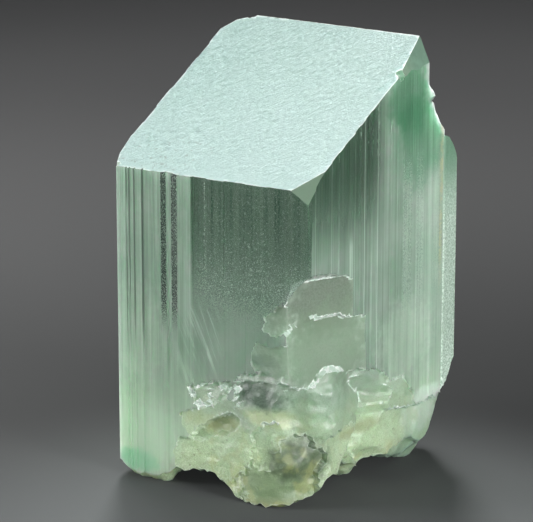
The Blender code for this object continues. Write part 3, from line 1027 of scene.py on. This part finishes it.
def build_crystal(shape):
    """The crystal, cut from its prism and marked, as one object at the origin."""
    cell = shape.cell / MM
    body = new_piece("prism", striated_prism(shape))
    mesh = cut_crystal(body, list(crystal_cutters(cell)))
    mark_faces(mesh)
    bm = bmesh.new()
    bm.from_mesh(mesh)
    sharpen_ledges(bm, math.radians(SHARP))
    bm.to_mesh(mesh)
    bm.free()
    return add_object("crystal", mesh)


# Surfaces


def band(value, start, end, soft):
    """1 between start and end, easing to 0 over the soft width outside them."""
    return value.above(start - soft, start) * value.below(end, end + soft)


class Surface:
    """What the crystal's material reads at a point. Each value is a signal, mostly from 0 to 1."""

    def __init__(self, tree):
        self.tree = tree
        self.place = place_mm(tree)
        axes = tree.nodes.new("ShaderNodeSeparateXYZ")
        tree.links.new(self.place.socket, axes.inputs[0])
        self.x, self.y, self.z = (Signal(tree, socket) for socket in axes.outputs)
        self.etched, self.rim, self.broken, self.facet = (
            mark(tree, kind) for kind in ("etched", "rim", "broken", "facet")
        )
        self.smooth = 1.0 - (self.etched + self.rim + self.broken + self.facet).held()
        self.front = self.y.below(-19.2, -18.9) * self.smooth
        self.right = self.x.above(17.8, 18.0) * self.smooth
        self.add_noises()
        self.add_depths()
        self.add_frost()
        self.add_ledges()
        self.add_growth_lines()
        self.add_veils()
        # Pale crumbs, frost sparks and veils, and the painted highlight on ledges
        self.crumbs_and_highlights = (self.sparkle + self.bright + self.ledge_highlight + self.veils * 0.55).held()

    def add_noises(self):
        """Growth lines drawn out up the faces, slanting etch, leaning threads, and even grains."""
        tree, place = self.tree, self.place
        drawn_out = place_mm(tree, stretch=(1.0, 1.0, 0.012))
        self.lines = waves(tree, drawn_out, 1.3, detail=4.0, roughness=0.62)
        self.hair = waves(tree, drawn_out, 4.5, roughness=0.6)
        self.wandering = (waves(tree, drawn_out, 0.35) - 0.5) * 3.0
        slanting = place_mm(tree, stretch=(0.30, 1.5, 0.8), turn=(0.0, 0.0, -0.995))
        self.etch = waves(tree, slanting, 2.3, detail=5.0, roughness=0.75)
        leaning = place_mm(tree, stretch=(1.0, 1.0, 0.05), turn=(0.0, VEIL_LEAN, 0.0))
        self.threads = waves(tree, leaning, 0.95, detail=5.0, roughness=0.68)
        self.fine = waves(tree, place, 6.5, roughness=0.6)
        self.speckle = waves(tree, place, 3.6, roughness=0.6)
        self.crumbly = waves(tree, place, 1.5, detail=3.0)
        self.lumps = waves(tree, place, 0.9, detail=4.0, roughness=0.6)
        self.lengths = waves(tree, place, 0.45)
        self.stains = waves(tree, place, 0.3, detail=3.0)
        self.clouds = waves(tree, place, 0.14, detail=5.0, roughness=0.6)

    def add_depths(self):
        """The cloudy foot, and the dark refraction painted into the clear body behind the front and
        the right face.
        """
        lifted = self.z + (self.clouds - 0.5) * 14.0
        self.foot = (lifted + self.x * 0.08).below(4.0, 22.0)
        self.grit = self.broken * self.foot
        dark_refraction_front = self.front * (self.x + self.wandering * 0.2).above(-2.6, -2.1)
        dark_refraction_right = self.right * self.y.below(-5.0, 1.5)
        # Painted dark refraction high on the front and the right face
        self.dark_refraction = dark_refraction_front * self.z.above(20.0, 46.0) + dark_refraction_right * self.z.above(35.0, 50.0)
        self.dark_refraction = self.dark_refraction.held()

    def add_frost(self):
        """Frosted bands: on the middle of the front face, and along the right face to the rim."""
        y, z = self.y, self.z
        self.front_frost = self.front * (self.x + self.wandering).above(-3.4, 0.4) * z.above(24.0, 34.0)
        right_frost = band(y, 4.4, 6.4, 0.7) + band(y, 8.0, 9.6, 0.7) + y.above(10.0, 13.5) * 0.5
        right_frost = self.right * right_frost * z.above(20.0, 32.0) * z.below(46.0, 52.0)
        self.frost = (self.front_frost + right_frost).held()
        self.sparkle = self.frost * (self.speckle * 0.5 + self.fine * 0.5).above(0.50, 0.64) * 0.8

    def add_ledges(self):
        """Painted highlight along the ledges, in uneven lengths and quieter in places, and painted
        shade in the cracks between them.
        """
        x, y, z = self.x, self.y, self.z
        # Sharp break edges that don't face up carry painted shade
        self.shaded_crack = mark(self.tree, "shaded_crack") * self.broken
        ledge_highlight = (mark(self.tree, "ledge_highlight") + (self.speckle - 0.5) * 0.8).above(0.42, 0.72)
        ledge_highlight = ledge_highlight * (self.lengths + z.above(26.5, 28.5) * 0.4).above(0.28, 0.42)
        quiet = z.above(18.0, 20.0) * x.below(12.5, 14.5) * 0.85 + y.above(4.0, 8.0) * 0.75
        quiet = quiet + x.above(16.5, 17.5) * y.above(-11.0, -8.0) * band(z, 13.0, 20.0, 1.0) * 0.6
        ledge_highlight = ledge_highlight * (1.0 - quiet)
        # Painted highlight along the lip of the right face's break
        lip_highlight = ledge_highlight * x.above(17.4, 17.8) * band(z, 7.0, 16.0, 1.0)
        self.ledge_highlight = ledge_highlight * self.broken * (z.above(11.0, 14.0) * 0.8 + 0.2) + lip_highlight

    def add_growth_lines(self):
        """Thin bright lines, dark pitted bands and lines, and the iron stain along the rim."""
        x, y, z = self.x, self.y, self.z
        right = sum(band(y, middle - 0.06, middle + 0.06, 0.08) for middle in BRIGHT_LINES)
        right = right + band(y, -9.5, -8.8, 0.12) * z.below(38.0, 41.0) * z.above(24.0, 30.0) * 0.7
        front = band(x, 0.0, 0.2, 0.08) * z.above(30.0, 44.0) * 0.7
        self.bright = (self.front * front + self.right * right) * (0.35 + self.hair * 0.8)
        pitted = sum(band(x, start, end, 0.05) for start, end in PITTED_BANDS)
        pitted = pitted * z.above(14.0, 32.0) * (self.fine.below(0.50, 0.58) * 0.55 + 0.62)
        thin = sum(band(x, start, end, 0.06) for start, end in DARK_LINES)
        thin = thin * z.above(9.0, 28.0) * self.hair.above(0.25, 0.4) * 0.85
        self.dark = (self.front * (pitted + thin)).held()
        stained = band(y + (self.hair - 0.5) * 0.6, 14.0, 14.6, 0.25) * z.above(22.0, 34.0)
        self.iron = self.rim.larger(self.smooth) * stained

    def add_veils(self):
        """Silvery veils that slant down through the left middle."""
        self.veiled = self.front * patch(self.tree, self.place, VEIL_MIDDLE, VEIL_RADII, self.clouds)
        self.veils = self.veiled * self.threads.above(0.46, 0.72)


def crystal_relief(at):
    """Faint growth lines on the faces, and a coarser grain on every other kind of surface."""
    height = at.smooth * (at.lines * 0.020 + at.hair * 0.006 + at.speckle * 0.003)
    height = height + at.frost * at.speckle * 0.05
    height = height + at.etched * (at.etch * 0.22 + at.speckle * 0.06)
    height = height + at.rim * (at.speckle * 0.16 + at.lumps * 0.10)
    height = height + at.broken * (at.lumps * 0.05 + at.speckle * 0.05)
    height = height + (at.ledge_highlight + at.shaded_crack) * at.speckle * 0.22
    return node(
        at.tree, "ShaderNodeBump", {}, {"Height": height, "Distance": 1.0 * MM, "Strength": 1.0}
    )


def crystal_roughness(at, polish):
    """Roughness of the clear body under each kind of surface."""
    rough = at.smooth * polish + at.etched * 0.34 + at.rim * 0.3 + at.broken * 0.40
    return (rough + at.frost * 0.16 + (at.speckle - 0.5) * 0.06).held()


def cloudiness(at, patch_cover):
    """Share of milk: thick at the foot, thin above and drawn out along the growth lines."""
    calm = at.front * at.x.above(-3.0, -1.5)
    streaks = ((at.lines - 0.5) * 0.5 + (at.hair - 0.5) * 0.3) * (1.0 - calm * 0.7)
    cloudy = at.smooth * (0.38 + streaks) + at.etched * 0.70 + at.rim * 0.80
    cloudy = cloudy + at.broken * 0.52 + at.facet * 0.55 + at.foot * 0.50
    cloudy = cloudy + at.frost * (at.speckle * 0.5 + at.fine * 0.5 - 0.42) * 1.4
    cloudy = cloudy + at.right * at.y.above(4.0, 14.0) * 0.25
    cloudy = cloudy + at.front * at.x.below(-15.0, -9.0) * 0.12
    cloudy = cloudy * (1.0 - at.dark_refraction * 0.74)
    cloudy = cloudy + at.front_frost * at.dark_refraction * (at.fine.above(0.44, 0.60) - 0.4) * 0.5
    cloudy = cloudy + at.dark * 0.9 + at.bright * 0.5 + at.ledge_highlight * 0.8 + at.shaded_crack * 0.3
    return ((cloudy + at.veils * 0.55).held() + patch_cover.held() * 0.3).held()


def body_colours(at, foot_milk):
    """Colours of the clear body and of the milk, both with dark refraction painted in, and how far
    the patches cover them.
    """
    gaps = at.veiled * at.threads.below(0.40, 0.50) * 0.6
    # The clear body darkens in the veils' gaps and under the painted dark refraction
    darkened = gaps + at.dark_refraction * (0.7 + (at.lines - 0.5) * 1.6)
    body = blend_colour(at.tree, darkened, CLEAR_BODY, DARK_REFRACTION_BODY)
    milk = blend_colour(at.tree, at.clouds.above(0.35, 0.65), *UPPER_MILK)
    milk = layered(at.tree, milk, (
        (at.foot * (at.broken * 0.55 + 0.45), foot_milk),
        (at.grit * at.lumps.above(0.48, 0.66) * 0.45, OLIVE_LUMPS),
        (at.grit * at.speckle.above(0.56, 0.66) * 0.40, PALE_GRAINS),
        (at.broken * at.speckle.below(0.36, 0.46) * 0.35, DARK_GRAINS),
        (at.grit * at.fine.above(0.50, 0.62) * 0.30, PALE_DUST),
        (at.broken * at.fine.below(0.38, 0.48) * 0.35, DARK_DUST),
        (at.grit * at.crumbly.below(0.30, 0.36) * 0.5, DARK_PITS),
    ))
    ragged = at.clouds * 0.4 + at.lumps * 0.6
    patch_cover = 0.0
    for patches, where in ((PATCHES, 1.0), (BREAK_PATCHES, at.broken)):
        for centre, radii, colour, share in patches:
            covered = patch(at.tree, at.place, centre, radii, ragged)
            covered = covered * (at.speckle * 0.5 + 0.8) * share * where
            milk = blend_colour(at.tree, covered, milk, colour)
            body = blend_colour(at.tree, covered, body, colour)
            patch_cover = covered + patch_cover
    stained = at.grit * at.stains.above(0.52, 0.66) * 0.4
    # The milk takes the painted dark refraction too
    milk = layered(at.tree, milk, ((stained, STAIN), (at.dark_refraction * 0.85, DARK_REFRACTION_MILK)))
    return body, milk, patch_cover


def skin_colour(at, milk):
    """Colour of the satin skin, which shows where the crystal is etched, frosted or hackly, with
    painted highlight on ledges and on the end's edge, and painted shade in cracks.
    """
    etched_tone = at.y * -0.030 + 0.44 + (at.etch - 0.5) * 3.0 + (at.speckle - 0.5) * 1.0
    end_skin = blend_colour(at.tree, etched_tone.held(), *END_SKIN)
    pits = (at.x - at.y * 0.5).below(4.0, 7.0) * at.y.below(-15.0, -11.0)
    pits = pits * at.crumbly.above(0.60, 0.66) * 0.6
    end_skin = blend_colour(at.tree, pits, end_skin, END_PIT_SKIN)
    frosted = blend_colour(at.tree, at.speckle.above(0.40, 0.62), *RIM_SKIN)
    frosted = blend_colour(at.tree, at.z.above(36.0, 48.0), frosted, RIM_TOP_SKIN)
    # The facet colour, also used as the painted shade in cracks
    return layered(at.tree, FACET_AND_CRACK_SHADE_SKIN, (
        (at.broken, milk),
        (at.etched, end_skin),
        (at.rim, frosted),
        ((at.broken + at.facet) * at.y.above(4.0, 8.0), REAR_SKIN),
        # Pale crumbs, with the painted highlight on ledges
        (at.crumbs_and_highlights, CRUMB_AND_HIGHLIGHT_SKIN),
        # Painted glints on the ledges
        (at.ledge_highlight * at.crumbly.above(0.48, 0.58), GLINTS),
        # Painted highlight along the end face's edge
        (at.etched * mark(at.tree, "end_edge_highlight"), END_EDGE_HIGHLIGHT),
        (at.iron.held() * at.lumps.above(0.38, 0.54) * 0.7, IRON_SKIN),
        (at.dark, PITTED_SKIN),
        # Painted shade in the cracks
        (at.shaded_crack, FACET_AND_CRACK_SHADE_SKIN),
    ))


def clear_crystal(name, look):
    """Clear green crystal, cloudy at its foot, etched on its end and frosted along its rim."""
    material, tree, output = new_material(name)
    at = Surface(tree)
    relief = crystal_relief(at)
    body, milk, patch_cover = body_colours(at, look.milk)
    clear = node(
        tree, "ShaderNodeBsdfPrincipled", {},
        {
            "Base Color": body, "Roughness": crystal_roughness(at, look.polish),
            "IOR": SPODUMENE_IOR, "Transmission Weight": 1.0, "Normal": relief,
        },
    )
    glow = node(
        tree, "ShaderNodeBsdfPrincipled", {},
        {
            "Base Color": milk, "Roughness": 0.4, "IOR": SPODUMENE_IOR, "Normal": relief,
            "Subsurface Weight": 1.0, "Subsurface Radius": (0.7, 1.0, 0.8),
            "Subsurface Scale": look.glow_depth,
        },
    )
    dull = (at.rim * at.z.above(34.0, 46.0) * 0.5 + at.broken * 0.20 + 0.32).held()
    satin = node(
        tree, "ShaderNodeBsdfPrincipled", {},
        {
            "Base Color": skin_colour(at, milk), "Roughness": dull, "IOR": SPODUMENE_IOR,
            "Normal": relief,
        },
    )
    skinned = at.etched + at.rim + at.facet + at.crumbs_and_highlights + at.dark + at.shaded_crack
    skinned = (skinned + at.iron * 0.5 + at.grit * 0.6).held()
    cloud = node(tree, "ShaderNodeMixShader", {}, {0: skinned, 1: glow, 2: satin})
    surface = node(tree, "ShaderNodeMixShader", {}, {0: cloudiness(at, patch_cover), 1: clear, 2: cloud})
    depth = node(
        tree, "ShaderNodeVolumeAbsorption", {},
        {"Color": tuple(look.tint), "Density": look.tint_density},
    )
    tree.links.new(surface.socket, output.inputs["Surface"])
    tree.links.new(depth.socket, output.inputs["Volume"])
    return material


def floor_paper(name, studio):
    """Plain matte paper, painted with a pool of light in front of the crystal and with shade that is
    darkest behind it.
    """
    material, tree, output = new_material(name)
    spot = node(tree, "ShaderNodeTexCoord", {}, {}, output=3)
    away = node(tree, "ShaderNodeVectorMath", {"operation": "DISTANCE"}, {0: spot, 1: DIM}, output=1)
    near = node(tree, "ShaderNodeVectorMath", {"operation": "DISTANCE"}, {0: spot, 1: LIGHT_POOL}, output=1)
    # Painted shade behind the crystal, easing to the wall's colour with distance
    colour = blend_colour(tree, away.above(0.0, DIM_REACH), tuple(studio.shade), tuple(studio.wall))
    # Painted pool of light in front of the crystal
    colour = blend_colour(tree, near.below(*LIGHT_POOL_BORDER), colour, tuple(studio.floor))
    paper = node(
        tree, "ShaderNodeBsdfPrincipled", {},
        {"Base Color": colour, "Roughness": 1.0, "Specular IOR Level": 0.0},
    )
    tree.links.new(paper.socket, output.inputs["Surface"])
    return material


# Stage


def bowl(material):
    """Floor and walls in one piece, with a wide round corner between them."""
    bm = bmesh.new()
    profile = [(0.0, 0.0), (BOWL_RADIUS - BOWL_CORNER, 0.0)]
    for step in range(1, BOWL_CORNER_STEPS + 1):
        turn = math.radians(90.0 * step / BOWL_CORNER_STEPS)
        profile.append((
            BOWL_RADIUS - BOWL_CORNER + BOWL_CORNER * math.sin(turn),
            BOWL_CORNER * (1.0 - math.cos(turn)),
        ))
    profile.append((BOWL_RADIUS, BOWL_HEIGHT))
    verts = [bm.verts.new((radius, 0.0, height)) for radius, height in profile]
    edges = [bm.edges.new(pair) for pair in zip(verts, verts[1:])]
    bmesh.ops.spin(
        bm, geom=verts + edges, cent=(0, 0, 0), axis=(0, 0, 1), dvec=(0, 0, 0),
        angle=math.tau, steps=BOWL_STEPS, use_merge=True, use_duplicate=False,
    )
    bmesh.ops.remove_doubles(bm, verts=bm.verts, dist=1e-5)
    bmesh.ops.recalc_face_normals(bm, faces=bm.faces)
    for face in bm.faces:
        face.smooth = True
    mesh = bpy.data.meshes.new("floor")
    bm.to_mesh(mesh)
    bm.free()
    mesh.materials.append(material)
    return add_object("floor", mesh)


def lamp(name, place, size, power, spread):
    """A square soft box that faces the crystal; a grid on it narrows its spread, in degrees."""
    data = bpy.data.lights.new(name, "AREA")
    data.shape = "SQUARE"
    data.size = size
    data.energy = power
    data.spread = math.radians(spread)
    box = add_object(name, data)
    box.location = place
    box.rotation_euler = (Vector(BOX_AIM) - Vector(place)).to_track_quat("-Z", "Y").to_euler()
    box.visible_camera = False


def sky(strength):
    """Soft even light from all round."""
    world = bpy.data.worlds.new("sky")
    world.use_nodes = True
    background = world.node_tree.nodes["Background"]
    background.inputs["Color"].default_value = (*SKY_COLOUR, 1.0)
    background.inputs["Strength"].default_value = strength
    bpy.context.scene.world = world


def camera():
    """The camera, turned and lifted round what it looks at."""
    turn, lift = math.radians(VIEW_TURN), math.radians(VIEW_LIFT)
    out = Vector((
        math.sin(turn) * math.cos(lift), -math.cos(turn) * math.cos(lift), math.sin(lift)
    ))
    data = bpy.data.cameras.new("camera")
    data.lens = VIEW_LENS
    data.clip_start = 0.01
    viewer = add_object("camera", data)
    viewer.location = Vector(VIEW_TARGET) + out * VIEW_DISTANCE
    viewer.rotation_euler = (-out).to_track_quat("-Z", "Y").to_euler()
    bpy.context.scene.camera = viewer


# Operators


class CRYSTAL_OT_stage(bpy.types.Operator):
    """Builds the floor, the walls, the lamps and the camera"""

    bl_idname = "crystal.stage"
    bl_label = "Stage"

    def execute(self, context):
        studio = context.scene.crystal_studio
        floor = bowl(floor_paper("paper", studio))
        sky(studio.sky)
        for soft_box in SOFT_BOXES:
            lamp(*soft_box)
        camera()
        context.scene.view_settings.view_transform = "Standard"
        return {"FINISHED"}


class CRYSTAL_OT_crystal(bpy.types.Operator):
    """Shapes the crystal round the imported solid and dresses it"""

    bl_idname = "crystal.crystal"
    bl_label = "Crystal"

    def execute(self, context):
        crystal = build_crystal(context.scene.crystal_shape)
        crystal.data.materials.append(clear_crystal("green_spodumene", context.scene.crystal_look))
        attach(crystal, "root")
        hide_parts(NODE)
        return {"FINISHED"}


class CRYSTAL_PT_panel(bpy.types.Panel):
    """Lists the crystal's operators"""

    bl_idname = "CRYSTAL_PT_panel"
    bl_label = "Spodumene Crystal"
    bl_space_type = "VIEW_3D"
    bl_region_type = "UI"
    bl_category = "Crystal"

    def draw(self, context):
        for group in ("crystal_shape", "crystal_look", "crystal_studio"):
            settings = getattr(context.scene, group)
            for name in settings.bl_rna.properties.keys():
                if name not in ("rna_type", "name"):
                    self.layout.prop(settings, name)
        for operator in OPERATORS:
            self.layout.operator(operator.bl_idname)


OPERATORS = (CRYSTAL_OT_stage, CRYSTAL_OT_crystal)
GROUPS = {
    "crystal_shape": CrystalShape,
    "crystal_look": CrystalLook,
    "crystal_studio": StudioSettings,
}


def register():
    for item in (*GROUPS.values(), *OPERATORS, CRYSTAL_PT_panel):
        bpy.utils.register_class(item)
    for name, group in GROUPS.items():
        setattr(bpy.types.Scene, name, PointerProperty(type=group))


def unregister():
    for name in GROUPS:
        delattr(bpy.types.Scene, name)
    for item in (CRYSTAL_PT_panel, *reversed(OPERATORS), *reversed(GROUPS.values())):
        bpy.utils.unregister_class(item)


def main():
    register()
    bpy.ops.crystal.stage()
    bpy.ops.crystal.crystal()


if __name__ == "__main__":
    main()
